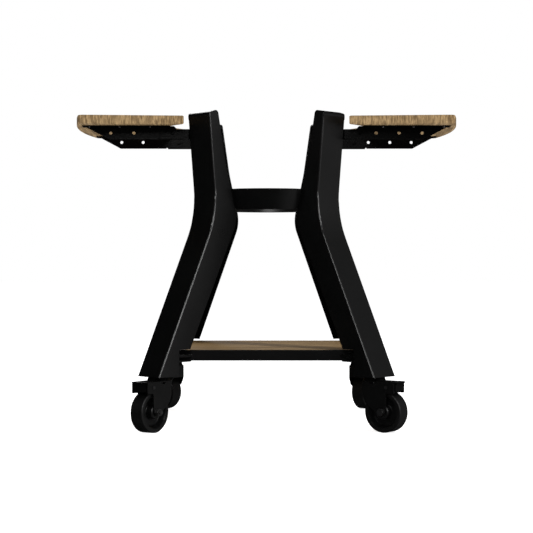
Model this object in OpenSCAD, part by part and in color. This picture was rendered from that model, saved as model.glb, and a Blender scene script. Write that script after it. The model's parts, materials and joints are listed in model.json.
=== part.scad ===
// Kamado grill stand: four folded steel legs round a waist ring, a wood shelf,
// two wood side tables that pull out and fold down, and four braked casters.
// The frame is centred on the floor, the front faces -Y and +X is to the right.

/* [Stand] */
// Height from the floor to the highest point of the legs
stand_h = 788; // [760:1:820]
// Height of the leg bottoms above the floor
foot_h = 133; // [130:1:140]

/* [Legs] */
// Width of a leg across its flat outer face
leg_w = 80; // [76:1:90]
// Thickness of the folded leg sheet
leg_t = 3; // [2.5:0.1:3.5]
// Outside radius of the long folded edges
leg_edge_r = 4; // [3.6:0.1:5]
// Height of the knee, where the two straight runs of the outer face would meet
knee_h = 530.6; // [525:0.5:545]
// Distance from the middle of the stand to the outer face at the knee
knee_r = 214.9; // [210:0.5:225]
// Outward lean of the upper run from the vertical, in degrees
leg_lean = 5.7; // [5:0.1:6.5]
// Outward splay of the lower run from the vertical, in degrees
leg_splay = 25.4; // [24.5:0.1:26.5]
// Bend radius of the outer face at the knee
knee_bend_r = 240; // [200:5:280]
// Bend radius of the inner edge at the knee
knee_in_bend_r = 72; // [50:2:80]
// Bend radius of the inner edge at the shoulder
shoulder_bend_r = 300; // [100:10:320]
// Depth of the side walls at the top
depth_top = 30; // [27:0.5:34]
// Depth of the side walls at the shoulder
depth_shoulder = 44.3; // [42:0.1:47]
// Height of the shoulder, where the side walls start to widen faster
shoulder_h = 650; // [640:1:660]
// Depth of the side walls at the knee
depth_knee = 78.9; // [76:0.1:82]
// Height of the knee on the inner edge
knee_in_h = 516.7; // [510:0.1:525]
// Depth of the side walls just above the shelf notch
depth_low = 70; // [66:0.5:74]
// Depth of the foot, below the shelf notch
depth_foot = 65.2; // [62:0.2:68]
// Fall of the slanted leg top from its inner to its outer corner
top_fall = 8.5; // [4:0.5:12]
// Rounding of the two corners of the leg top
top_corner_r = 9; // [6:0.5:12]
// Thickness of the foot plate at the bottom of each leg
foot_plate_t = 5; // [4:0.5:6]

/* [Waist] */
// Height of the lower rim of the waist ring
ring_z = 546.3; // [546:0.5:552]
// Height of the waist ring
ring_h = 48.2; // [40:0.2:54]
// Wall of the waist ring
ring_t = 4; // [3:0.5:5]
// Height of the front plate
plate_h = 51.8; // [44:0.2:58]
// Width of the front plate
plate_w = 152; // [130:1:154]
// Thickness of the front plate
plate_t = 2.5; // [2:0.1:3]
// Thickness of the lugs that carry the ring in the legs
lug_t = 4; // [3:0.5:5]
// Height of the lugs along their slope
lug_h = 40; // [34:1:44]

/* [Shelf] */
// Outside width of the square shelf frame
shelf_w = 446; // [436:1:450]
// Height of the shelf's top face
shelf_z = 195; // [188:1:200]
// Height of the frame's outer walls
rail_h = 26.5; // [25:0.5:30]
// Thickness of the frame's walls and ledge
rail_t = 3; // [2.5:0.1:4]
// Width of the ledge that the board lies on
ledge_w = 20; // [16:1:28]
// Thickness of the shelf board
shelf_board_t = 22; // [18:0.5:22.5]
// Width of the tongues at the frame's corners
tongue_w = 60; // [40:1:66]
// Thickness of the tongues
tongue_t = 6; // [4:0.5:8]

/* [Side tables] */
// Depth of the table tops below the highest point of the legs
table_drop = 14; // [12:0.5:20]
// Thickness of the table boards
table_t = 22; // [18:0.5:24]
// Distance from the middle of the stand to the tables' outer edges
table_reach = 486.2; // [475:0.1:520]
// Radius of the round cut-out that clears the grill
cut_r = 277; // [272:1:282]
// Half the table's depth at its inner corners
table_in_half = 186; // [184:1:200]
// Half the table's depth at its outer corners
table_out_half = 207; // [198:1:220]
// Corner radius of the tables in plan
table_corner_r = 14; // [8:1:30]
// How far the outer edge bulges out at its middle
table_bulge = 21.5; // [5:0.5:30]
// Rounding of the tables' top and bottom edges
table_edge_r = 3; // [1:0.5:5]
// Height of the table brackets
bracket_h = 33.5; // [31:0.5:36]
// Sheet thickness of the brackets and arms
bracket_t = 3; // [2.5:0.1:3.5]
// Half the distance between the backs of a table's two brackets
bracket_half = 136; // [134:0.5:138]
// Width of the bracket flange under the wood
flange_w = 30; // [24:1:36]
// Distance from the middle of the stand to the outer end of the flange
flange_reach = 460; // [440:1:464]
// Length of the slant at the outer end of the bracket
bracket_slant = 57; // [40:1:70]
// Distance from the middle of the stand to the pivot bolts
pivot_x = 236; // [234:0.5:240]
// Height of the pivot bolts below the board
pivot_drop = 17; // [16:0.5:18]
// How far a table pulls out on its slots as it folds down
pull_out = 20; // [18:0.5:22]
// Distance from the middle of the stand to the end of the arms
arm_reach = 267; // [266:0.5:269]
// Width of the lip along the bottom of the arms
arm_lip_w = 18; // [12:1:22]
// Distance from the middle of the stand to the innermost place of the bracket's row of holes
row_x = 275.5; // [274:0.5:280]
// Spacing of the holes in the bracket's row
row_step = 58; // [50:0.5:60]
// Number of holes in a left bracket, counted from its outer end
left_holes = 2; // [1:1:3]
// Number of holes in a right bracket, counted from its outer end
right_holes = 3; // [1:1:3]
// Diameter of the holes in the row
row_d = 8; // [6:0.5:9]

/* [Casters] */
// Diameter of the wheels
wheel_d = 100; // [96:1:102]
// Width of the tread
tread_w = 37; // [30:1:38]
// Thickness of the rubber tread
tread_t = 9; // [7:1:12]
// Edge radius of the tread
tread_edge_r = 3; // [1:0.5:4]
// Radius of the boss round the axle
boss_r = 17; // [12:0.5:20]
// Thickness of the web between boss and rim
web_t = 6; // [4:0.5:12]
// Distance of the swivel axis in from the outer bottom edge of the leg
caster_inset = 33.7; // [32:0.1:35]
// Trail of the axle behind the swivel axis
trail = 33.6; // [32:0.2:35]
// Turn of the casters away from their legs' directions, in degrees
caster_turn = 9.2; // [0:0.1:90]
// Outside width of the forks
fork_w = 50; // [48:1:54]
// Sheet thickness of the forks
fork_t = 2.5; // [2:0.1:3]
// Height of the race between a fork and its leg
race_h = 9.2; // [8.5:0.1:9.5]
// Travel of a brake pedal, in degrees
pedal_travel = 10; // [6:1:11]

/* [Fasteners] */
// Diameter of the bolts through the ring and the shelf
bolt_d = 8; // [6:0.5:8]
// Diameter of the bolts that hold the arms on the legs
arm_bolt_d = 6; // [5:0.5:6]
// Diameter of the pivot bolts
pivot_d = 6; // [5:0.5:6.5]
// Diameter of the wheel axles
axle_d = 10; // [8:0.5:10]
// Diameter of the caster stems
stem_d = 12; // [10:0.5:12]

/* [Hidden] */
$fn = 64;
// Clearance of a turning or sliding fit, on the radius
run = 0.05;
// Gap between faces that pass or rest on each other
gap = 0.3;
// Extra sheet thickness on each side of the legs' bends, so that the runs end inside them
bend_extra = 0.03;
// Extra length of a cutting shape past the face it cuts
cut = 1;
// Extra length of a shape that another shape trims
spare = 40;
// Overlap of the parts of one welded piece
weld = 0.5;

// Outer face of a leg as a distance from the middle, along its straight runs
function out_r(z) = knee_r + (z >= knee_h ? (z - knee_h) * tan(leg_lean) : (knee_h - z) * tan(leg_splay));
notch_z = shelf_z + 3;
foot_r = out_r(foot_h);
foot_in_r = foot_r - depth_foot;
knee_in_r = out_r(knee_in_h) - depth_knee;
shoulder_in_r = out_r(shoulder_h) - depth_shoulder;
low_in_r = out_r(notch_z) - depth_low;
// Inner edge of a leg between the knee and the shoulder
function in_r(z) = knee_in_r + (z - knee_in_h) * (shoulder_in_r - knee_in_r) / (shoulder_h - knee_in_h);
leg_in_half = leg_w / 2 - leg_t;
sheet_run = leg_t / cos(leg_splay);

// The ring lies on the inner corners of the legs' side walls
ring_top = ring_z + ring_h;
function ring_out(z) = sqrt(pow(in_r(z), 2) + pow(leg_in_half, 2)) - 0.1;
ring_bot_r = ring_out(ring_z);
ring_top_r = ring_out(ring_top);
ring_slope = atan((ring_top_r - ring_bot_r) / ring_h);
plate_z = ring_top - plate_h;

caster_r = foot_r - caster_inset;
shelf_half = shelf_w / 2;
shelf_corner_r = shelf_half * sqrt(2);
rail_z = shelf_z - rail_h;
ledge_z = shelf_z - shelf_board_t - rail_t;
tongue_z = shelf_z - 17;
bar_t = 6;
// The ledges start outside the shelf's corners
shelf_lug_in_r = max(foot_in_r + 5, shelf_corner_r + gap);
shelf_bolt_r = shelf_lug_in_r + 14.5;

board_z = stand_h - table_drop - table_t;
bracket_z = board_z - bracket_h;
pivot_z = board_z - pivot_drop;
arm_half = bracket_half + gap;
slot_half = pivot_d / 2 + run;
arm_top = board_z - 7.5;
land_top = board_z - bracket_t - gap;
flange_in_x = pivot_x + 7;
arm_bolt_r = out_r(pivot_z) - 18.5;
arm_bolt_zs = [pivot_z - 9.5, pivot_z + 4.5];

screw_d = 4;
screw_in = 13;

wheel_r = wheel_d / 2;
fork_top = foot_h - race_h - gap;
fork_in = fork_w / 2 - fork_t;
fork_back = 22;
ear_reach = 69;
ear_z = fork_top - 28;
ear_in = 48;
tongue_out = 4;
slot_us = [5, 14];
slot_r = 2;
slot_z = fork_top - fork_t - slot_r - gap;
pin_r = 2.5;
pin_u = 47;
pin_z = fork_top - 13.5;
cheek_half = fork_in - 3;
race_r = 28;
stem_r = stem_d / 2;
axle_r = axle_d / 2;
hub_half = fork_in - 1.5;
nut_share = 0.8;
washer_t = 2;
stem_nut_h = 9;
leg_turns = [225, -45, 135, 45];

steel_black = [0.10, 0.10, 0.11];
bolt_black = [0.16, 0.16, 0.17];
zinc = [0.62, 0.63, 0.65];
wood_tan = [0.78, 0.69, 0.55];
rubber_black = [0.07, 0.07, 0.07];
plastic_black = [0.13, 0.13, 0.14];

// Points of an outline whose corners [x, y, radius] are rounded by arcs
function unit(v) = v / norm(v);
function turn_of(a) = a > 180 ? a - 360 : (a < -180 ? a + 360 : a);
function arc_at(a, b, c, r, n) =
  r == 0 ? [b] :
  let (
    u = unit(a - b),
    v = unit(c - b),
    half = acos(u * v) / 2,
    o = b + unit(u + v) * r / sin(half),
    s = b + u * r / tan(half) - o,
    e = b + v * r / tan(half) - o,
    from = atan2(s.y, s.x),
    sweep = turn_of(atan2(e.y, e.x) - from)
  )
  [for (i = [0:n]) o + r * [cos(from + sweep * i / n), sin(from + sweep * i / n)]];
function rounded(p, n = 8) = [
  for (i = [0:len(p) - 1])
    let (a = p[(i + len(p) - 1) % len(p)], b = p[i], c = p[(i + 1) % len(p)])
    each arc_at([a.x, a.y], [b.x, b.y], [c.x, c.y], b.z, n)
];

// An anticlockwise outline moved inward by d
function inset(p, d) = [
  for (i = [0:len(p) - 1])
    let (
      u = unit(p[i] - p[(i + len(p) - 1) % len(p)]),
      v = unit(p[(i + 1) % len(p)] - p[i]),
      n = unit([-u.y - v.y, u.x + v.x])
    )
    p[i] + n * d / (n * [-v.y, v.x])
];

// A board with the given anticlockwise outline, thickness and rounded edges
module soft_edged_board(outline, t, edge, steps = 5) {
  low = [for (k = [0:steps]) [edge * (1 - sin(90 * k / steps)), edge * (1 - cos(90 * k / steps))]];
  high = [for (k = [steps:-1:0]) [low[k][0], t - low[k][1]]];
  rows = concat(low, high);
  n = len(outline);
  points = [for (row = rows) let (ring = inset(outline, row[0])) for (q = ring) [q.x, q.y, row[1]]];
  sides = [
    for (k = [0:len(rows) - 2]) for (i = [0:n - 1])
      let (a = k * n + i, b = k * n + (i + 1) % n)
      each [[a, a + n, b], [b, a + n, b + n]]
  ];
  bottom = [[for (i = [0:n - 1]) i]];
  top = [[for (i = [n - 1:-1:0]) (len(rows) - 1) * n + i]];
  polyhedron(points, concat(sides, bottom, top));
}

// Fasteners stand on z = 0 with the shank pointing down
module button_head(d) {
  difference() {
    rotate_extrude() intersection() {
      square([d * 0.95, d * 0.55]);
      translate([0, -d * 0.35]) circle(r = d * 0.9);
    }
    translate([0, 0, d * 0.2]) cylinder(d = d * 0.72, h = d, $fn = 6);
  }
}
module hex_nut(d, h) {
  difference() {
    cylinder(d = d * 1.85, h = h, $fn = 6);
    translate([0, 0, -cut]) cylinder(d = d + 2 * run, h = h + 2 * cut);
  }
}
module button_bolt(d, l) {
  button_head(d);
  translate([0, 0, -l]) cylinder(d = d, h = l + 0.2);
}
module wood_screw(d, l) {
  button_head(d);
  rotate_extrude() polygon([[0, -l], [d * 0.1, -l], [d / 2, -l * 0.7], [d / 2, 0.2], [0, 0.2]]);
}

// A leg stands in the X-Z plane with its outer face towards +X
module leg_section(extra = 0) {
  difference() {
    leg_fold(-extra, leg_edge_r + extra);
    leg_fold(leg_t + extra, leg_edge_r - leg_t - extra);
  }
}
module leg_fold(inward, r) {
  deep = 110 + inward;
  half = leg_w / 2 - inward;
  translate([-inward - deep, -half]) square([deep - r, 2 * half]);
  translate([-inward - deep, -half + r]) square([deep, 2 * half - 2 * r]);
  for (s = [-1, 1]) translate([-inward - r, s * (half - r)]) circle(r = r);
}
module leg_sweep() {
  t = knee_bend_r * tan((leg_lean + leg_splay) / 2);
  low = [knee_r + t * sin(leg_splay), knee_h - t * cos(leg_splay)];
  high = [knee_r + t * sin(leg_lean), knee_h + t * cos(leg_lean)];
  centre = high + knee_bend_r * [cos(leg_lean), -sin(leg_lean)];
  translate([high.x, 0, high.y]) rotate([0, leg_lean, 0]) translate([0, 0, -weld])
    linear_extrude(top_z - high.y + spare) leg_section();
  translate([low.x, 0, low.y]) rotate([0, -leg_splay, 0]) translate([0, 0, -low.y])
    linear_extrude(low.y + weld) leg_section();
  translate([centre.x, 0, centre.y]) rotate([90, 0, 0]) rotate([0, 0, 180 - leg_lean])
    rotate_extrude(angle = leg_lean + leg_splay, $fn = 180)
      translate([knee_bend_r, 0]) mirror([1, 0]) leg_section(bend_extra);
}
// Height lost where an arc of radius r rounds the corner b
function corner_loss(a, b, c, r) =
  let (u = unit(a - b), v = unit(c - b)) -unit(u + v).y * r / sin(acos(u * v) / 2) - r;
top_z = stand_h + corner_loss([out_r(stand_h), stand_h - top_fall], [out_r(stand_h) - depth_top, stand_h],
  [shoulder_in_r, shoulder_h], top_corner_r);
top_out_x = out_r(top_z - top_fall);
top_in_x = out_r(top_z) - depth_top;
function leg_outline(extra) = rounded([
  [foot_r + extra, foot_h, 0],
  [top_out_x + extra, top_z - top_fall - extra * top_fall / depth_top, 0],
  [top_in_x, top_z, top_corner_r],
  [shoulder_in_r, shoulder_h, shoulder_bend_r],
  [knee_in_r, knee_in_h, knee_in_bend_r],
  [low_in_r, notch_z, 2],
  [foot_in_r, notch_z, 3],
  [foot_in_r, foot_h, 0]
], 10);
module leg_cap() {
  corner = [top_out_x, top_z - top_fall];
  low_in = [in_r_top(top_z - 14), top_z - 14];
  low_out = [out_r(corner.y - 14) - 0.02, corner.y - 14];
  translate([0, leg_w / 2 - leg_t / 2, 0]) rotate([90, 0, 0]) linear_extrude(leg_w - leg_t)
    difference() {
      polygon(rounded([
        [low_out.x, low_out.y, 0], [corner.x, corner.y, top_corner_r],
        [top_in_x, top_z, top_corner_r], [low_in.x, low_in.y, 0]
      ]));
      polygon(rounded([
        [low_out.x - leg_t, low_out.y - cut, 0],
        [corner.x - leg_t - 0.5, corner.y - leg_t - 0.2, top_corner_r - leg_t],
        [top_in_x + leg_t, top_z - leg_t - 0.7, top_corner_r - leg_t],
        [low_in.x + leg_t, low_in.y - cut, 0]
      ]));
    }
}
module leg_top_cut() {
  corner = [top_out_x, top_z - top_fall];
  low = corner.y - spare;
  arc = arc_at([out_r(low), low], corner, [top_in_x, top_z], top_corner_r, 10);
  rotate([90, 0, 0]) linear_extrude(leg_w + 2 * cut, center = true)
    polygon(concat(arc, [[corner.x - spare / 2, corner.y + spare], [corner.x + spare, corner.y + spare],
      [corner.x + spare, low]], [[out_r(low) + 0.02, low]]));
}
module leg(bolt_side) {
  difference() {
    union() {
      intersection() {
        leg_sweep();
        rotate([90, 0, 0]) linear_extrude(leg_w + 2 * cut, center = true) polygon(leg_outline(30));
      }
      leg_cap();
    }
    leg_top_cut();
    for (z = arm_bolt_zs)
      translate([arm_bolt_r, bolt_side * leg_w / 2, z]) rotate([90, 0, 0])
        cylinder(d = arm_bolt_d + 2 * run, h = 4 * leg_t, center = true);
  }
}
module leg_at(i, bolt_side) {
  color(steel_black) rotate([0, 0, leg_turns[i]]) leg(bolt_side);
}

module foot_plates() {
  back = foot_in_r;
  front = out_r(foot_h + foot_plate_t) - sheet_run;
  color(steel_black) for (a = leg_turns) rotate([0, 0, a]) difference() {
    translate([back, -leg_in_half, foot_h]) cube([front - back, 2 * leg_in_half, foot_plate_t]);
    translate([caster_r, 0, foot_h - cut]) cylinder(r = stem_r + run, h = foot_plate_t + 2 * cut);
  }
}

module shelf_lugs() {
  top = tongue_z;
  front = out_r(top) - sheet_run;
  back = shelf_lug_in_r;
  color(steel_black) for (a = leg_turns) rotate([0, 0, a]) difference() {
    translate([back, -leg_in_half, top - bar_t]) cube([front - back, 2 * leg_in_half, bar_t]);
    translate([shelf_bolt_r, 0, top - bar_t - cut])
      cylinder(d = bolt_d + 2 * run, h = bar_t + 2 * cut);
  }
}

// Places its children on the ring's outer face, at the middle of its height
module on_ring_face(a) {
  rotate([0, 0, a])
    translate([(ring_bot_r + ring_top_r) / 2, 0, ring_z + ring_h / 2])
      rotate([0, ring_slope, 0]) children();
}

module ring_lugs() {
  color(steel_black) for (a = leg_turns) on_ring_face(a) difference() {
    translate([0.1, -leg_in_half, -lug_h / 2]) cube([lug_t, 2 * leg_in_half, lug_h]);
    rotate([0, 90, 0]) cylinder(d = bolt_d + 2 * run, h = 6 * lug_t, center = true);
  }
}

module cone_band(bottom, top, low_r, high_r, t) {
  rotate_extrude($fn = 180)
    polygon([[low_r - t, bottom], [low_r, bottom], [high_r, top], [high_r - t, top]]);
}

module cradle_ring() {
  color(steel_black) difference() {
    cone_band(ring_z, ring_top, ring_bot_r, ring_top_r, ring_t);
    for (a = leg_turns) on_ring_face(a) rotate([0, 90, 0])
      cylinder(d = bolt_d + 2 * run, h = 30, center = true);
  }
}

module front_plate() {
  step = (ring_top_r - ring_bot_r) / ring_h;
  low_r = ring_bot_r + (plate_z - ring_z) * step + plate_t + run;
  high_r = ring_top_r + plate_t + run;
  color(steel_black) intersection() {
    cone_band(plate_z, ring_top, low_r, high_r, plate_t);
    translate([-plate_w / 2, -high_r - cut, plate_z - cut]) cube([plate_w, high_r, plate_h + 2 * cut]);
  }
}

module ring_bolts() {
  head_back = ring_t * cos(ring_slope);
  color(bolt_black) for (a = leg_turns) on_ring_face(a) {
    translate([-head_back, 0, 0]) rotate([0, -90, 0]) button_bolt(bolt_d, head_back + lug_t + bolt_d);
    translate([0.1 + lug_t, 0, 0]) rotate([0, 90, 0]) hex_nut(bolt_d, bolt_d * nut_share);
  }
}

module shelf_frame() {
  color(steel_black) {
    difference() {
      translate([-shelf_half, -shelf_half, rail_z]) cube([shelf_w, shelf_w, rail_h]);
      translate([-shelf_half + rail_t, -shelf_half + rail_t, rail_z - cut])
        cube([shelf_w - 2 * rail_t, shelf_w - 2 * rail_t, rail_h + 2 * cut]);
    }
    difference() {
      translate([-shelf_half + rail_t / 2, -shelf_half + rail_t / 2, ledge_z])
        cube([shelf_w - rail_t, shelf_w - rail_t, rail_t]);
      translate([-shelf_half + rail_t + ledge_w, -shelf_half + rail_t + ledge_w, ledge_z - cut])
        cube([shelf_w - 2 * rail_t - 2 * ledge_w, shelf_w - 2 * rail_t - 2 * ledge_w, rail_t + 2 * cut]);
      for (x = shelf_screw_xs) for (y = shelf_screw_xs)
        translate([x, y, ledge_z - cut]) cylinder(d = screw_d + 2 * run, h = rail_t + 2 * cut);
    }
    for (a = leg_turns) shelf_tongue(a);
  }
}
module shelf_tongue(a) {
  reach = shelf_bolt_r + 14;
  edge = shelf_half - rail_t + weld;
  difference() {
    rotate([0, 0, a]) translate([0, -tongue_w / 2, tongue_z]) cube([reach, tongue_w, tongue_t]);
    translate([-edge, -edge, tongue_z - cut]) cube([2 * edge, 2 * edge, tongue_t + 2 * cut]);
    rotate([0, 0, a]) translate([shelf_bolt_r, 0, tongue_z - cut])
      cylinder(d = bolt_d + 2 * run, h = tongue_t + 2 * cut);
  }
}
shelf_screw_x = shelf_half - rail_t - ledge_w / 2;
shelf_screw_xs = [-shelf_screw_x, shelf_screw_x];

module shelf_board() {
  half = shelf_half - rail_t - gap;
  color(wood_tan) translate([0, 0, ledge_z + rail_t]) difference() {
    soft_edged_board(
      rounded([[-half, -half, 4], [half, -half, 4], [half, half, 4], [-half, half, 4]], 3),
      shelf_board_t, 1.5, 2);
    for (x = shelf_screw_xs) for (y = shelf_screw_xs)
      translate([x, y, -cut]) cylinder(d = screw_d + 2 * run, h = screw_in + 1 + cut);
  }
}

module shelf_bolts() {
  low = tongue_z - bar_t;
  color(bolt_black) for (a = leg_turns) rotate([0, 0, a]) translate([shelf_bolt_r, 0, 0]) {
    translate([0, 0, tongue_z + tongue_t]) button_bolt(bolt_d, tongue_t + bar_t + bolt_d);
    translate([0, 0, low - bolt_d * nut_share]) hex_nut(bolt_d, bolt_d * nut_share);
  }
}

module shelf_screws() {
  color(zinc) for (x = shelf_screw_xs) for (y = shelf_screw_xs)
    translate([x, y, ledge_z]) rotate([180, 0, 0]) wood_screw(screw_d, rail_t + screw_in);
}

// Right front quarter of a thing, copied to the other three by mirroring
module quarter(sx, sy) {
  mirror([sx < 0 ? 1 : 0, 0, 0]) mirror([0, sy > 0 ? 1 : 0, 0]) children();
}
function plan(r, t) = [(r + t) / sqrt(2), (t - r) / sqrt(2)];

// An arm bolts to the leg's side wall, bends out by 45 degrees and carries the table's pivot
module arm() {
  face = leg_w / 2;
  tab_end = in_r_top(pivot_z) + 4;
  outer = arm_half + bracket_t;
  bend_front = [face * sqrt(2) + outer, -outer];
  bend_back = [(face + bracket_t) * sqrt(2) + arm_half, -arm_half];
  difference() {
    union() {
      intersection() {
        translate([0, 0, bracket_z]) linear_extrude(bracket_h) polygon([
          plan(tab_end, face), bend_front, [arm_reach, -outer],
          [arm_reach, -arm_half], bend_back, plan(tab_end, face + bracket_t)
        ]);
        translate([0, 0, 0]) rotate([90, 0, 0]) linear_extrude(2 * outer) arm_side();
      }
      translate([bend_front.x + 6, -outer - arm_lip_w + weld, bracket_z])
        cube([arm_reach - bend_front.x - 6, arm_lip_w, bracket_t]);
    }
    for (x = [0, pull_out]) translate([pivot_x + x, -arm_half + cut, pivot_z]) rotate([90, 0, 0])
      cylinder(r = slot_half, h = bracket_t + 2 * cut);
    translate([pivot_x, -outer - cut, pivot_z - slot_half])
      cube([pull_out, bracket_t + 2 * cut, 2 * slot_half]);
    for (z = arm_bolt_zs) rotate([0, 0, -45]) translate([arm_bolt_r, face, z]) rotate([90, 0, 0])
      cylinder(d = arm_bolt_d + 2 * run, h = 4 * bracket_t, center = true);
  }
}
// Inner edge of a leg above the shoulder
function in_r_top(z) = shoulder_in_r + (z - shoulder_h) * (top_in_x - shoulder_in_r) / (top_z - shoulder_h);
// Side view of an arm: a raised land carries the table's flange, and the end is cut away for the fold
module arm_side() {
  polygon([
    [0, bracket_z], [arm_reach, bracket_z], [arm_reach, pivot_z - 5],
    [arm_reach - 6, pivot_z + 3.2], [pivot_x + 4, land_top], [pivot_x - 5, land_top],
    [pivot_x - 8, arm_top], [0, arm_top]
  ]);
}
module arm_at(sx, sy) {
  color(steel_black) quarter(sx, sy) arm();
}

module arm_bolts() {
  out = leg_w / 2 + bracket_t;
  back = leg_w / 2 - leg_t;
  color(bolt_black) for (sx = [-1, 1]) for (sy = [-1, 1]) quarter(sx, sy)
    for (z = arm_bolt_zs) rotate([0, 0, -45]) translate([arm_bolt_r, 0, z]) {
      translate([0, out, 0]) rotate([-90, 0, 0]) button_bolt(arm_bolt_d, out - back + arm_bolt_d);
      translate([0, back - arm_bolt_d * nut_share, 0]) rotate([-90, 0, 0])
        hex_nut(arm_bolt_d, arm_bolt_d * nut_share);
    }
}

// The right table's outline, anticlockwise. Its straight inner side lies in the round cut-out.
function table_outline() =
  let (
    a = [sqrt(pow(cut_r, 2) - pow(table_in_half, 2)), -table_in_half],
    b = [table_reach - table_bulge, -table_out_half],
    start = a - unit(b - a) * 3 * table_edge_r,
    bow_r = (pow(table_out_half, 2) + pow(table_bulge, 2)) / (2 * table_bulge),
    bow = asin(table_out_half / bow_r),
    front = arc_at(start, b, b + 3 * table_corner_r * [sin(bow), cos(bow)], table_corner_r, 6),
    steps = 12
  )
  concat(
    [[start.x, -start.y], start],
    front,
    [for (i = [1:steps - 1]) let (w = bow * (2 * i / steps - 1))
      [table_reach - bow_r * (1 - cos(w)), bow_r * sin(w)]],
    [for (i = [len(front) - 1:-1:0]) [front[i].x, -front[i].y]]
  );
// The grill's clearance in the tables, flared by the rounding of the wood's edges
module grill_cut(t, edge, steps = 5) {
  flare = [for (k = [0:steps]) [edge * (1 - sin(90 * k / steps)), edge * (1 - cos(90 * k / steps))]];
  rotate_extrude($fn = 180) polygon(concat(
    [[0, -cut], [cut_r + edge, -cut]],
    [for (k = [0:steps]) [cut_r + flare[k][0], flare[k][1]]],
    [for (k = [steps:-1:0]) [cut_r + flare[k][0], t - flare[k][1]]],
    [[cut_r + edge, t + cut], [0, t + cut]]
  ));
}
module table_board(sx) {
  color(wood_tan) difference() {
    mirror([sx < 0 ? 1 : 0, 0, 0]) translate([0, 0, board_z])
      soft_edged_board(table_outline(), table_t, table_edge_r);
    translate([0, 0, board_z]) grill_cut(table_t, table_edge_r);
    for (sy = [-1, 1]) quarter(sx, sy) for (x = table_screw_xs)
      translate([x, -table_screw_y, board_z - cut])
        cylinder(d = screw_d + 2 * run, h = screw_in + 1 + cut);
  }
}

// A table bracket: an upright web beside the arm, a flange under the wood and a small bottom lip
module bracket(holes) {
  back = bracket_half - bracket_t;
  slant_top = flange_reach - 8;
  lip_x = arm_reach + 4;
  difference() {
    union() {
      translate([0, -back, 0]) rotate([90, 0, 0]) linear_extrude(bracket_t) polygon(rounded([
        [pivot_x - 9, bracket_z + 2, 8], [slant_top - bracket_slant, bracket_z, 0],
        [slant_top, board_z - bracket_t, 0], [slant_top, board_z, 0], [pivot_x - 4, board_z, 0],
        [pivot_x - 9, board_z - 5, 4]
      ]));
      translate([flange_in_x, -back - flange_w, board_z - bracket_t])
        cube([flange_reach - flange_in_x, flange_w, bracket_t]);
      translate([pivot_x - 4, -bracket_half - 5, board_z - bracket_t])
        cube([flange_in_x - pivot_x + 4 + weld, 5 + bracket_t, bracket_t]);
      translate([lip_x, -bracket_half - 5, bracket_z])
        cube([slant_top - bracket_slant - lip_x, 5 + weld, bracket_t]);
    }
    translate([pivot_x, -back + cut, pivot_z]) rotate([90, 0, 0])
      cylinder(r = slot_half, h = bracket_t + 2 * cut);
    for (i = [3 - holes:2]) translate([row_x + i * row_step, -back + cut, pivot_z]) rotate([90, 0, 0])
      cylinder(d = row_d, h = bracket_t + 2 * cut);
    for (x = table_screw_xs) translate([x, -table_screw_y, board_z - bracket_t - cut])
      cylinder(d = screw_d + 2 * run, h = bracket_t + 2 * cut);
  }
}
table_screw_y = bracket_half + flange_w / 2 - 1;
table_screw_xs = [row_x + 16, (row_x + flange_reach) / 2, flange_reach - 16];
module bracket_at(sx, sy) {
  color(steel_black) quarter(sx, sy) bracket(sx < 0 ? left_holes : right_holes);
}

module table_screws(sx) {
  color(zinc) for (sy = [-1, 1]) quarter(sx, sy) for (x = table_screw_xs)
    translate([x, -table_screw_y, board_z - bracket_t]) rotate([180, 0, 0])
      wood_screw(screw_d, bracket_t + screw_in);
}

// Pivot bolts: the head is outside the arm and the nut is inside the bracket
module pivot_bolts(sx) {
  outer = arm_half + bracket_t;
  back = bracket_half - bracket_t;
  color(bolt_black) for (sy = [-1, 1]) quarter(sx, sy) translate([pivot_x, 0, pivot_z]) {
    translate([0, -outer - gap, 0]) rotate([90, 0, 0])
      button_bolt(pivot_d, outer - back + 2 * gap + pivot_d);
    translate([0, -back + gap, 0]) rotate([-90, 0, 0]) hex_nut(pivot_d, pivot_d * nut_share);
  }
}

// Casters are drawn with the swivel axis on the Z axis and the wheel trailing towards +X
module caster_at(i) {
  rotate([0, 0, leg_turns[i]]) translate([caster_r, 0, 0])
    rotate([0, 0, caster_turn]) children();
}

module caster_races() {
  color(steel_black) for (i = [0:3]) caster_at(i) difference() {
    translate([0, 0, foot_h - race_h]) cylinder(r1 = race_r, r2 = race_r - 3, h = race_h);
    translate([0, 0, foot_h - race_h - cut]) cylinder(r = stem_r + run, h = race_h + 2 * cut);
  }
}

module caster_stems() {
  low = fork_top - fork_t - gap;
  color(bolt_black) for (i = [0:3]) caster_at(i) {
    translate([0, 0, low - 5]) cylinder(r = stem_r + 4, h = 5);
    translate([0, 0, low - 0.2])
      cylinder(r = stem_r, h = foot_h + foot_plate_t + washer_t + stem_nut_h + 3 - low);
  }
}

module caster_nuts() {
  color(bolt_black) for (i = [0:3]) caster_at(i) translate([0, 0, foot_h + foot_plate_t]) {
    difference() {
      cylinder(r = stem_r + 6, h = washer_t);
      translate([0, 0, -cut]) cylinder(r = stem_r + run, h = washer_t + 2 * cut);
    }
    translate([0, 0, washer_t]) hex_nut(stem_d, stem_nut_h);
  }
}

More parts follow.
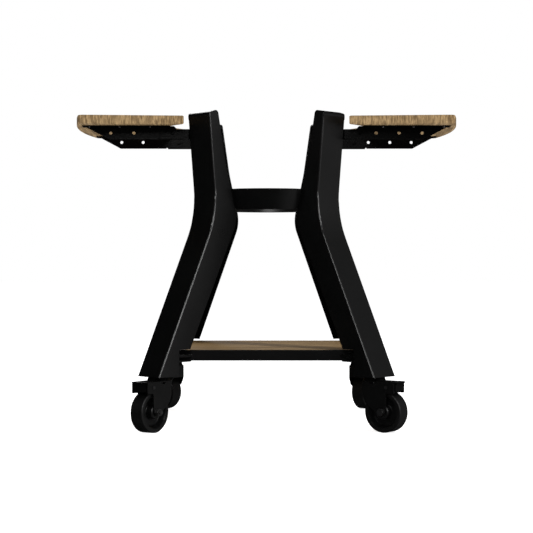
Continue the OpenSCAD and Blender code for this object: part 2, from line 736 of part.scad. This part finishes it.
module fork() {
  side = rounded([
    [-fork_back, fork_top, 0], [-fork_back, ear_z, 3], [-fork_back / 2, ear_z - 24.5, 4],
    [13, wheel_r + 3, 6], [trail - 9, wheel_r - 10, 6], [trail + 8, wheel_r - 10, 8],
    [ear_in - 1.5, wheel_r + 12, 8], [ear_in, ear_z, 3], [ear_reach, ear_z, 2], [ear_reach, fork_top, 0]
  ], 5);
  length = ear_reach + fork_back;
  difference() {
    intersection() {
      linear_extrude(fork_top) union() {
        translate([-fork_back + 6, -fork_w / 2]) square([length - 6, fork_w]);
        translate([-fork_back, -fork_w / 2 + 6]) square([length, fork_w - 12]);
        for (s = [-1, 1]) translate([-fork_back + 6, s * (fork_w / 2 - 6)]) circle(r = 6);
      }
      rotate([90, 0, 0]) linear_extrude(fork_w + 2 * cut, center = true) polygon(side);
    }
    translate([0, 0, -cut]) linear_extrude(fork_top - fork_t + cut) union() {
      translate([-fork_back + 6, -fork_in]) square([length, 2 * fork_in]);
      translate([-fork_back + fork_t, -fork_in + 3.5]) square([length, 2 * fork_in - 7]);
      for (s = [-1, 1]) translate([-fork_back + 6, s * (fork_in - 3.5)]) circle(r = 3.5);
    }
    translate([0, 0, fork_top - 2 * fork_t]) cylinder(r = stem_r + run, h = 4 * fork_t);
    translate([trail, 0, wheel_r]) rotate([90, 0, 0])
      cylinder(r = axle_r + run, h = fork_w + 2 * cut, center = true);
    translate([pin_u, 0, pin_z]) rotate([90, 0, 0])
      cylinder(r = pin_r + run, h = fork_w + 2 * cut, center = true);
    for (x = slot_us) translate([x, 0, slot_z]) rotate([90, 0, 0])
      cylinder(r = slot_r, h = fork_w + 2 * cut, center = true);
    translate([slot_us[0], -fork_w / 2 - cut, slot_z - slot_r])
      cube([slot_us[1] - slot_us[0], fork_w + 2 * cut, 2 * slot_r]);
  }
  translate([ear_reach - weld, -fork_in, fork_top - 2]) cube([tongue_out + weld, 2 * fork_in, 2]);
}

module axle() {
  half = fork_w / 2;
  translate([trail, 0, wheel_r]) rotate([90, 0, 0]) {
    translate([0, 0, -half - 13]) cylinder(r = axle_r, h = 2 * half + 13 + 0.2);
    translate([0, 0, half]) cylinder(d = axle_d * 1.85, h = 6.4, $fn = 6);
  }
  translate([trail, half, wheel_r]) rotate([-90, 0, 0]) hex_nut(axle_d, 8);
}

module on_axle() {
  translate([trail, 0, wheel_r]) rotate([90, 0, 0]) children();
}

rim_r = wheel_r - tread_t;
module hub() {
  wall = rim_r - 2;
  foot = wall - 5;
  rise = tread_w / 2 - 1;
  on_axle() rotate_extrude() polygon([
    [axle_r + run, -hub_half], [boss_r - 2, -hub_half], [boss_r, 2 - hub_half],
    [boss_r + 0.7, -web_t / 2 - 1], [boss_r + 1.7, -web_t / 2], [foot - 1, -web_t / 2],
    [foot, -web_t / 2 - 1], [wall, 1 - rise], [wall + 0.5, -rise], [rim_r, -rise],
    [rim_r, rise], [wall + 0.5, rise], [wall, rise - 1], [foot, web_t / 2 + 1],
    [foot - 1, web_t / 2], [boss_r + 1.7, web_t / 2], [boss_r + 0.7, web_t / 2 + 1],
    [boss_r, hub_half - 2], [boss_r - 2, hub_half], [axle_r + run, hub_half]
  ]);
}

module tyre() {
  r = tread_edge_r;
  on_axle() rotate_extrude($fn = 96) union() {
    translate([rim_r, -tread_w / 2]) square([tread_t - r, tread_w]);
    translate([rim_r, -tread_w / 2 + r]) square([tread_t, tread_w - 2 * r]);
    for (s = [-1, 1]) translate([wheel_r - r, s * (tread_w / 2 - r)]) circle(r = r);
  }
}

// A brake pedal turns on its pin, and its shoe meets the tread when the outer end is pressed
module pedal() {
  difference() {
    union() {
      rotate([90, 0, 0]) linear_extrude(2 * cheek_half, center = true) {
        polygon([
          [pin_u - 1, pin_z + 5], [pin_u + 13, pin_z + 7.5], [pin_u + 23, pin_z + 7.5],
          [pin_u + 28.5, pin_z + 9.4], [pin_u + 28, pin_z + 11], [pin_u + 22.5, pin_z + 9.5],
          [pin_u + 12.5, pin_z + 9.5], [pin_u - 2, pin_z + 6.8]
        ]);
        polygon([
          [pin_u + 22, pin_z + 8], [pin_u + 22, pin_z - 9],
          [pin_u + 24, pin_z - 9], [pin_u + 24, pin_z + 8.5]
        ]);
        polygon([
          [pin_u + 1, pin_z - 2], [pin_u + 3, pin_z - 16], [pin_u + 12, pin_z - 17],
          [pin_u + 16, pin_z - 9], [pin_u + 16, pin_z - 2]
        ]);
      }
      for (s = [-1, 1]) translate([0, s * (cheek_half - 1), 0]) rotate([90, 0, 0])
        linear_extrude(2, center = true) polygon([
          [pin_u - 5, pin_z - 4], [pin_u + 3, pin_z - 12], [pin_u + 12, pin_z - 14],
          [pin_u + 15, pin_z - 9], [pin_u + 24, pin_z - 9], [pin_u + 24, pin_z + 8.4],
          [pin_u + 13, pin_z + 8.5], [pin_u - 2, pin_z + 6]
        ]);
      translate([pin_u, 0, pin_z]) rotate([90, 0, 0])
        cylinder(r = 5.5, h = 2 * cheek_half, center = true);
    }
    translate([pin_u, 0, pin_z]) rotate([90, 0, 0])
      cylinder(r = pin_r + run, h = fork_w, center = true);
    translate([pin_u, 0, pin_z]) rotate([0, -pedal_travel, 0])
      translate([trail - pin_u, 0, wheel_r - pin_z]) rotate([90, 0, 0])
        cylinder(r = wheel_r + gap, h = fork_w, center = true, $fn = 180);
  }
}

module pedal_pin() {
  translate([pin_u, 0, pin_z]) rotate([90, 0, 0]) {
    cylinder(r = pin_r, h = fork_w + 2, center = true);
    for (s = [-1, 1]) translate([0, 0, s * (fork_w / 2 + 0.75)])
      cylinder(r = pin_r + 1.5, h = 1.5, center = true);
  }
}

leg_at(0, -1);  // leg_front_left
leg_at(1, 1);  // leg_front_right
leg_at(2, 1);  // leg_rear_left
leg_at(3, -1);  // leg_rear_right
foot_plates();
shelf_lugs();
ring_lugs();
cradle_ring();
front_plate();
ring_bolts();
shelf_frame();
shelf_board();
shelf_bolts();
shelf_screws();
arm_at(-1, -1);  // arm_front_left
arm_at(1, -1);  // arm_front_right
arm_at(-1, 1);  // arm_rear_left
arm_at(1, 1);  // arm_rear_right
arm_bolts();
caster_stems();
caster_races();
caster_nuts();
table_board(-1);  // left_board
bracket_at(-1, -1);  // left_bracket_front
bracket_at(-1, 1);  // left_bracket_rear
table_screws(-1);  // left_screws
pivot_bolts(-1);  // left_pivot_bolts
table_board(1);  // right_board
bracket_at(1, -1);  // right_bracket_front
bracket_at(1, 1);  // right_bracket_rear
table_screws(1);  // right_screws
pivot_bolts(1);  // right_pivot_bolts
color(steel_black) caster_at(0) fork();  // fork_front_left
color(steel_black) caster_at(1) fork();  // fork_front_right
color(steel_black) caster_at(2) fork();  // fork_rear_left
color(steel_black) caster_at(3) fork();  // fork_rear_right
color(bolt_black) caster_at(0) axle();  // axle_front_left
color(bolt_black) caster_at(1) axle();  // axle_front_right
color(bolt_black) caster_at(2) axle();  // axle_rear_left
color(bolt_black) caster_at(3) axle();  // axle_rear_right
color(plastic_black) caster_at(0) hub();  // hub_front_left
color(plastic_black) caster_at(1) hub();  // hub_front_right
color(plastic_black) caster_at(2) hub();  // hub_rear_left
color(plastic_black) caster_at(3) hub();  // hub_rear_right
color(rubber_black) caster_at(0) tyre();  // tyre_front_left
color(rubber_black) caster_at(1) tyre();  // tyre_front_right
color(rubber_black) caster_at(2) tyre();  // tyre_rear_left
color(rubber_black) caster_at(3) tyre();  // tyre_rear_right
color(steel_black) caster_at(0) pedal();  // pedal_front_left
color(steel_black) caster_at(1) pedal();  // pedal_front_right
color(steel_black) caster_at(2) pedal();  // pedal_rear_left
color(steel_black) caster_at(3) pedal();  // pedal_rear_right
color(bolt_black) caster_at(0) pedal_pin();  // pedal_pin_front_left
color(bolt_black) caster_at(1) pedal_pin();  // pedal_pin_front_right
color(bolt_black) caster_at(2) pedal_pin();  // pedal_pin_rear_left
color(bolt_black) caster_at(3) pedal_pin();  // pedal_pin_rear_right
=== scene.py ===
import json
import math

import bpy
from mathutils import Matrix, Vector

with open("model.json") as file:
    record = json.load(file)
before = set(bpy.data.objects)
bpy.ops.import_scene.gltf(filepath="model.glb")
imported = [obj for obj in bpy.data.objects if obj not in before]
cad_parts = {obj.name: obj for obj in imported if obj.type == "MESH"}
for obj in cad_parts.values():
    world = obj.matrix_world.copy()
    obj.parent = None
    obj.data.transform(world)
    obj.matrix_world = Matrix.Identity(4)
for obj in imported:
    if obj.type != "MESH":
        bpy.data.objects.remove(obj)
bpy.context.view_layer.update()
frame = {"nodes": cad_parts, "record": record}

# Every visible piece is a CAD node and stays as packed. This script gives the nodes their
# materials and adds the floor, the light and the camera. Lengths are in metres, angles in
# radians, lamp powers in watts and noise scales in cells per metre.

NODES = frame["nodes"]
SLOT_OF = {part["node"]: part["material_slot"] for part in frame["record"]["subparts"]}


# Colours

def grey(level):
    return (level, level, level)


def tint(colour, share):
    return tuple(part * share for part in colour)


BLACK = grey(0.0)
WHITE = grey(1.0)
COAT_DARK = grey(0.0008)
COAT_LIGHT = grey(0.0014)
WOOD_PALE = (0.36, 0.246, 0.122)
WOOD_MID = (0.28, 0.186, 0.088)
WOOD_DARK = (0.125, 0.077, 0.034)
WOOD_LIT = tint(WOOD_PALE, 1.35)
WOOD_VEIN = tint(WOOD_DARK, 0.7)
WOOD_PORE = tint(WOOD_DARK, 0.45)
DUST_OVER_COAT = 2.2  # how many times lighter than the coat its dust marks are


# Node trees

class Tree:
    """The node tree of a material or world, with short ways to add and join nodes."""

    def __init__(self, owner):
        owner.use_nodes = True
        self.nodes = owner.node_tree.nodes
        self.links = owner.node_tree.links

    def feed(self, socket, value):
        """Join another node's output to a socket, or set it to a number, vector or colour."""
        if isinstance(value, bpy.types.NodeSocket):
            self.links.new(value, socket)
        elif socket.type == "RGBA":
            socket.default_value = (*value, 1)
        else:
            socket.default_value = value

    def add(self, kind, feeds=None, **settings):
        """Add a node with its settings. feeds gives its sockets their values."""
        node = self.nodes.new(kind)
        for key, value in settings.items():
            setattr(node, key, value)
        for socket, value in (feeds or {}).items():
            self.feed(node.inputs[socket], value)
        return node

    def coords(self, stretch=(1, 1, 1), shift=(0, 0, 0)):
        """The place on the object at rest, stretched and shifted."""
        place = self.add("ShaderNodeTexCoord").outputs["Object"]
        feeds = {"Scale": stretch, "Location": shift, "Vector": place}
        return self.add("ShaderNodeMapping", feeds).outputs["Vector"]

    def noise(self, place, scale, detail=4.0, roughness=0.55, distortion=0.0):
        feeds = {
            "Scale": scale, "Detail": detail, "Roughness": roughness,
            "Distortion": distortion, "Vector": place,
        }
        return self.add("ShaderNodeTexNoise", feeds).outputs["Fac"]

    def ramp(self, value, *stops):
        """Colours that follow value. Each stop is a place on the ramp and its colour."""
        node = self.add("ShaderNodeValToRGB", {"Fac": value})
        points = node.color_ramp.elements
        while len(points) < len(stops):
            points.new(0.5)  # between the two that a new ramp has, and placed below
        for point, (place, colour) in zip(points, stops):
            point.position = place
            point.color = (*colour, 1)
        return node.outputs["Color"]

    def span(self, value, over, to):
        """Take value's range over to the range to, and hold it at the ends."""
        feeds = {
            "From Min": over[0], "From Max": over[1],
            "To Min": to[0], "To Max": to[1], "Value": value,
        }
        return self.add("ShaderNodeMapRange", feeds).outputs["Result"]

    def mix(self, factor, low, high):
        """A colour between low, at factor 0, and high, at factor 1."""
        feeds = {"Factor": factor, "A": low, "B": high}
        return self.add("ShaderNodeMix", feeds, data_type="RGBA").outputs["Result"]


class Material(Tree):
    """A new material, whose shader is set socket by socket."""

    def __init__(self, name):
        self.material = bpy.data.materials.new(name)
        super().__init__(self.material)
        self.shader = self.nodes["Principled BSDF"]

    def set(self, socket, value):
        self.feed(self.shader.inputs[socket], value)

    def bump(self, height, strength, distance, below=None):
        """Normals raised by height, on top of the normals below if these are given."""
        feeds = {"Height": height, "Strength": strength, "Distance": distance}
        if below is not None:
            feeds["Normal"] = below
        return self.add("ShaderNodeBump", feeds).outputs["Normal"]

    def soft_edge(self, radius):
        """Normals that round the edges off."""
        return self.add("ShaderNodeBevel", {"Radius": radius}, samples=6).outputs["Normal"]


# Materials

def powder_coat(name, dark, light, rough, specular, edge):
    """Satin powder coat: a fine orange peel, a faint cloudiness and small dust marks.
    rough is the range of its roughness, edge the radius of its soft edges."""
    coat = Material(name)
    place = coat.coords()
    cloud = coat.noise(place, scale=9, detail=3)
    wave = coat.noise(place, scale=160, detail=2, roughness=0.5)
    peel = coat.noise(place, scale=900, detail=2, roughness=0.4)
    dust = coat.noise(place, scale=2400, detail=2, roughness=0.6)
    clouded = coat.ramp(cloud, (0.3, dark), (0.7, light))
    specks = coat.ramp(dust, (0.70, BLACK), (0.80, WHITE))
    wavy = coat.bump(wave, strength=0.05, distance=0.0010, below=coat.soft_edge(edge))
    coat.set("Base Color", coat.mix(specks, clouded, tint(light, DUST_OVER_COAT)))
    coat.set("Roughness", coat.span(cloud, over=(0.25, 0.75), to=rough))
    coat.set("Specular IOR Level", specular)
    coat.set("Normal", coat.bump(peel, strength=0.10, distance=0.0003, below=wavy))
    return coat.material


def wood(name, grain, clouds, specular):
    """Oiled hardwood made of glued staves. grain is the axis that the fibres follow, and
    clouds is how much the broad dark figure shows."""
    timber = Material(name)

    def grained(scale, fibre, down, shift=(0, 0, 0), **texture):
        """Noise that is drawn out along the fibres and down through the board."""
        stretch = (fibre, 1, down) if grain == "x" else (1, fibre, down)
        return timber.noise(timber.coords(stretch, shift), scale, **texture)

    broad = grained(11, fibre=0.14, down=0.22, shift=(1.9, 4.4, 0.2), detail=2, distortion=1.2)
    staves = grained(24, fibre=0.02, down=0.04, shift=(3.1, 1.7, 0.4), detail=1)
    figure = grained(60, fibre=0.07, down=0.15, shift=(0.7, 5.2, 2.0), detail=3, distortion=0.9)
    streaks = grained(340, fibre=0.035, down=0.16, shift=(2.3, 0.9, 1.1), detail=1, roughness=0.6)
    veins = grained(400, fibre=0.012, down=0.02, shift=(5.3, 2.9, 4.1), detail=1)
    fibres = grained(620, fibre=0.03, down=0.10, detail=5, roughness=0.7)
    pores = grained(1100, fibre=0.05, down=0.30, shift=(7.0, 2.0, 1.0), detail=2, roughness=0.5)

    tone = timber.ramp(staves, (0.36, WOOD_MID), (0.50, WOOD_PALE), (0.64, WOOD_MID))
    for layer, over, to, colour in (
        (broad, (0.46, 0.66), (0.0, clouds), WOOD_DARK),
        (figure, (0.50, 0.72), (0.0, 0.44), WOOD_DARK),
        (streaks, (0.50, 0.66), (0.0, 0.85), WOOD_DARK),
        (streaks, (0.30, 0.47), (0.75, 0.0), WOOD_LIT),
        (veins, (0.60, 0.70), (0.0, 0.85), WOOD_VEIN),
        (fibres, (0.46, 0.70), (0.0, 0.8), WOOD_VEIN),
        (pores, (0.58, 0.72), (0.0, 0.6), WOOD_PORE),
    ):
        tone = timber.mix(timber.span(layer, over, to), tone, colour)
    streaked = timber.bump(streaks, strength=0.15, distance=0.0005)
    timber.set("Base Color", tone)
    timber.set("Roughness", timber.span(fibres, over=(0.3, 0.7), to=(0.50, 0.66)))
    timber.set("Specular IOR Level", specular)
    timber.set("Normal", timber.bump(pores, strength=0.22, distance=0.0003, below=streaked))
    return timber.material


def rubber(name):
    """Black tyre rubber, mottled and finely pitted."""
    tread = Material(name)
    place = tread.coords()
    mottle = tread.noise(place, scale=40)
    wear = tread.noise(place, scale=70)
    pits = tread.noise(place, scale=1300, detail=3)
    tread.set("Base Color", tread.ramp(mottle, (0.3, grey(0.0012)), (0.75, grey(0.0024))))
    tread.set("Roughness", tread.span(wear, over=(0.3, 0.7), to=(0.42, 0.52)))
    tread.set("Specular IOR Level", 0.12)
    tread.set("Normal", tread.bump(pits, strength=0.18, distance=0.0004))
    return tread.material


def moulded(name, dark, light, edge):
    """Moulded plastic with a fine grain. edge is the radius of its soft edges."""
    plastic = Material(name)
    place = plastic.coords()
    flow = plastic.noise(place, scale=60)
    sheen = plastic.noise(place, scale=120)
    skin = plastic.noise(place, scale=2000, detail=2)
    rounded = plastic.soft_edge(edge)
    plastic.set("Base Color", plastic.ramp(flow, (0.3, dark), (0.7, light)))
    plastic.set("Roughness", plastic.span(sheen, over=(0.3, 0.7), to=(0.34, 0.42)))
    plastic.set("Specular IOR Level", 0.14)
    plastic.set("Normal", plastic.bump(skin, strength=0.10, distance=0.0003, below=rounded))
    return plastic.material


def plated(name, dark, light):
    """Bright plated steel with faint spangles."""
    metal = Material(name)
    place = metal.coords()
    spangle = metal.noise(place, scale=220, detail=5)
    haze = metal.noise(place, scale=300)
    grit = metal.noise(place, scale=1600, detail=3)
    metal.set("Metallic", 1.0)
    metal.set("Base Color", metal.ramp(spangle, (0.3, dark), (0.7, light)))
    metal.set("Roughness", metal.span(haze, over=(0.3, 0.7), to=(0.28, 0.45)))
    metal.set("Normal", metal.bump(grit, strength=0.08, distance=0.0003))
    return metal.material


# Which node has which material

FINISH_OF_SLOT = {
    "black_steel": powder_coat(
        "coat", COAT_DARK, COAT_LIGHT, rough=(0.27, 0.31), specular=0.19, edge=0.0009),
    "bolt": powder_coat(
        "black_oxide", grey(0.002), grey(0.005), rough=(0.26, 0.36), specular=0.45, edge=0.0003),
    "zinc": plated("zinc", (0.50, 0.50, 0.52), (0.68, 0.68, 0.70)),
    "wood": wood("wood_along_x", grain="x", clouds=0.35, specular=0.06),
    "hub_plastic": moulded(
        "hub_plastic", (0.0016, 0.0016, 0.0017), (0.0028, 0.0028, 0.0029), edge=0.0006),
    "tyre_rubber": rubber("tyre_rubber"),
}
TABLE_WOOD = wood("wood_along_y", grain="y", clouds=0.42, specular=0.16)
# A duller, darker copy of the coat for the pedals and the casters' collars. Its darker colour is
# painted shade.
DULL_SHADED_COAT = powder_coat(
    "dull_coat_painted_shade", grey(0.0006), grey(0.0010), rough=(0.48, 0.56), specular=0.06, edge=0.0006)
BRACKET_COAT = powder_coat(
    "bracket_coat", COAT_DARK, COAT_LIGHT, rough=(0.24, 0.28), specular=0.05, edge=0.0006)


def material_of(node):
    """The finish of the node's slot, with three exceptions: the tables' grain runs from front
    to back, the casters' collars and pedals get a duller coat whose darker colour is painted
    shade, and what carries the tables has less gloss than the legs."""
    is_pedal = node.startswith("pedal_") and not node.startswith("pedal_pin_")
    if node in ("left_board", "right_board"):
        return TABLE_WOOD
    if is_pedal or node == "caster_races":
        return DULL_SHADED_COAT
    if node.startswith("arm_") or "_bracket_" in node or node.endswith("_pivot_bolts"):
        return BRACKET_COAT
    return FINISH_OF_SLOT[SLOT_OF[node]]


for node in sorted(NODES):
    slots = NODES[node].data.materials
    slots.clear()
    slots.append(material_of(node))

# Floor

FLOOR_HALF = 30.0  # half of its side
FLOOR_GLOW = 0.84  # makes it as white as the background

corners = [(x * FLOOR_HALF, y * FLOOR_HALF, 0) for x, y in ((-1, -1), (1, -1), (1, 1), (-1, 1))]
floor_mesh = bpy.data.meshes.new("floor")
floor_mesh.from_pydata(corners, [], [(0, 1, 2, 3)])
floor = bpy.data.objects.new("floor", floor_mesh)
bpy.context.scene.collection.objects.link(floor)
paint = Material("floor_pale")
paint.set("Base Color", grey(0.9))
paint.set("Emission Color", WHITE)
paint.set("Emission Strength", FLOOR_GLOW)
paint.set("Roughness", 0.9)
paint.set("Specular IOR Level", 0.0)
floor_mesh.materials.append(paint.material)
floor.visible_glossy = False

# Studio

STUDIO_GREY = (0.26, 0.26, 0.27)

world = bpy.data.worlds.new("studio")
bpy.context.scene.world = world
studio = Tree(world)
ray = studio.add("ShaderNodeLightPath").outputs
direction = studio.add("ShaderNodeTexCoord").outputs["Generated"]
towards = studio.add("ShaderNodeSeparateXYZ", {"Vector": direction}).outputs

# Gloss sees a pale wall on the right, brighter in front than behind, and dark elsewhere.
# All else is lit by a soft grey, and the camera sees white.
wall = studio.span(towards["X"], over=(0.30, 0.85), to=(0.03, 0.55))
fade = studio.span(towards["Y"], over=(-0.15, 0.15), to=(1.65, 0.45))
product = studio.add("ShaderNodeMath", {0: wall, 1: fade}, operation="MULTIPLY")
plain = studio.mix(ray["Is Camera Ray"], STUDIO_GREY, WHITE)
colour = studio.mix(ray["Is Glossy Ray"], plain, product.outputs["Value"])
studio.feed(studio.nodes["Background"].inputs["Color"], colour)


# Lamps

def lamp(name, place, aim, size, power, diffuse=True, glossy=True):
    """An area lamp turned towards the height aim on the stand's upright axis. diffuse and
    glossy say whether it lights surfaces and whether it shows in their gloss."""
    data = bpy.data.lights.new(name, "AREA")
    data.shape = "RECTANGLE"
    data.size, data.size_y = size
    data.energy = power
    light = bpy.data.objects.new(name, data)
    light.location = place
    to_stand = Vector((0, 0, aim)) - Vector(place)
    light.rotation_euler = to_stand.to_track_quat("-Z", "Y").to_euler()
    light.visible_diffuse = diffuse
    light.visible_glossy = glossy
    bpy.context.scene.collection.objects.link(light)
    return light


def light_group(name, nodes, state):
    """A group of CAD nodes for light linking. By the state INCLUDE a lamp lights only these,
    by EXCLUDE all but these."""
    group = bpy.data.collections.new(name)
    for node in nodes:
        group.objects.link(NODES[node])
    for item in group.collection_objects:
        item.light_linking.link_state = state
    return group


boards = [node for node in sorted(NODES) if node.endswith("_board")]
upright_steel = [
    node for node in sorted(NODES)
    if node.startswith(("leg_", "fork_", "hub_", "tyre_", "axle_"))
]
WIDE_PANEL = (4.4, 3.4)

front = lamp("front", (-0.3, -3.0, 2.0), aim=0.45, size=(1.0, 1.0), power=92, diffuse=False)
front.light_linking.receiver_collection = light_group("boards", boards, "EXCLUDE")
# The key lamp throws the right front leg's shadow on the shelf
lamp("key", (2.4, -2.6, 4.0), aim=0.3, size=(0.5, 0.5), power=168, glossy=False)
lamp("side", (5.0, -1.3, 1.4), aim=0.5, size=WIDE_PANEL, power=2, glossy=False)
lamp("far_left", (-4.0, -3.4, 1.2), aim=0.5, size=WIDE_PANEL, power=6, glossy=False)
lamp("left", (-3.0, -1.6, 1.6), aim=0.4, size=(2.0, 2.0), power=5)
lamp("back", (-1.2, 3.0, 2.4), aim=0.5, size=(2.0, 2.0), power=50)
lamp("top", (0, 0.2, 3.4), aim=0.5, size=(2.4, 2.4), power=14)
glint = lamp("glint", (2.3, -2.8, 1.6), aim=0.45, size=(2.8, 0.8), power=210, diffuse=False)
glint.light_linking.receiver_collection = light_group("upright", upright_steel, "INCLUDE")

# Camera, level and square to the front as in the photograph

PHOTO_SIDE = 533  # pixels
FOCAL_LENGTH = 1413  # pixels, from the photograph's perspective
SENSOR = 36  # millimetres, as Blender counts it
CAMERA_DISTANCE = 3.688
CAMERA_HEIGHT = 0.3995

camera_data = bpy.data.cameras.new("camera")
camera_data.sensor_width = SENSOR
camera_data.lens = FOCAL_LENGTH / PHOTO_SIDE * SENSOR
camera_data.clip_start = 0.05
camera_data.clip_end = 80
camera = bpy.data.objects.new("camera", camera_data)
camera.location = (0, -CAMERA_DISTANCE, CAMERA_HEIGHT)
camera.rotation_euler = (math.pi / 2, 0, 0)
bpy.context.scene.collection.objects.link(camera)
bpy.context.scene.camera = camera
bpy.context.scene.view_settings.view_transform = "Standard"
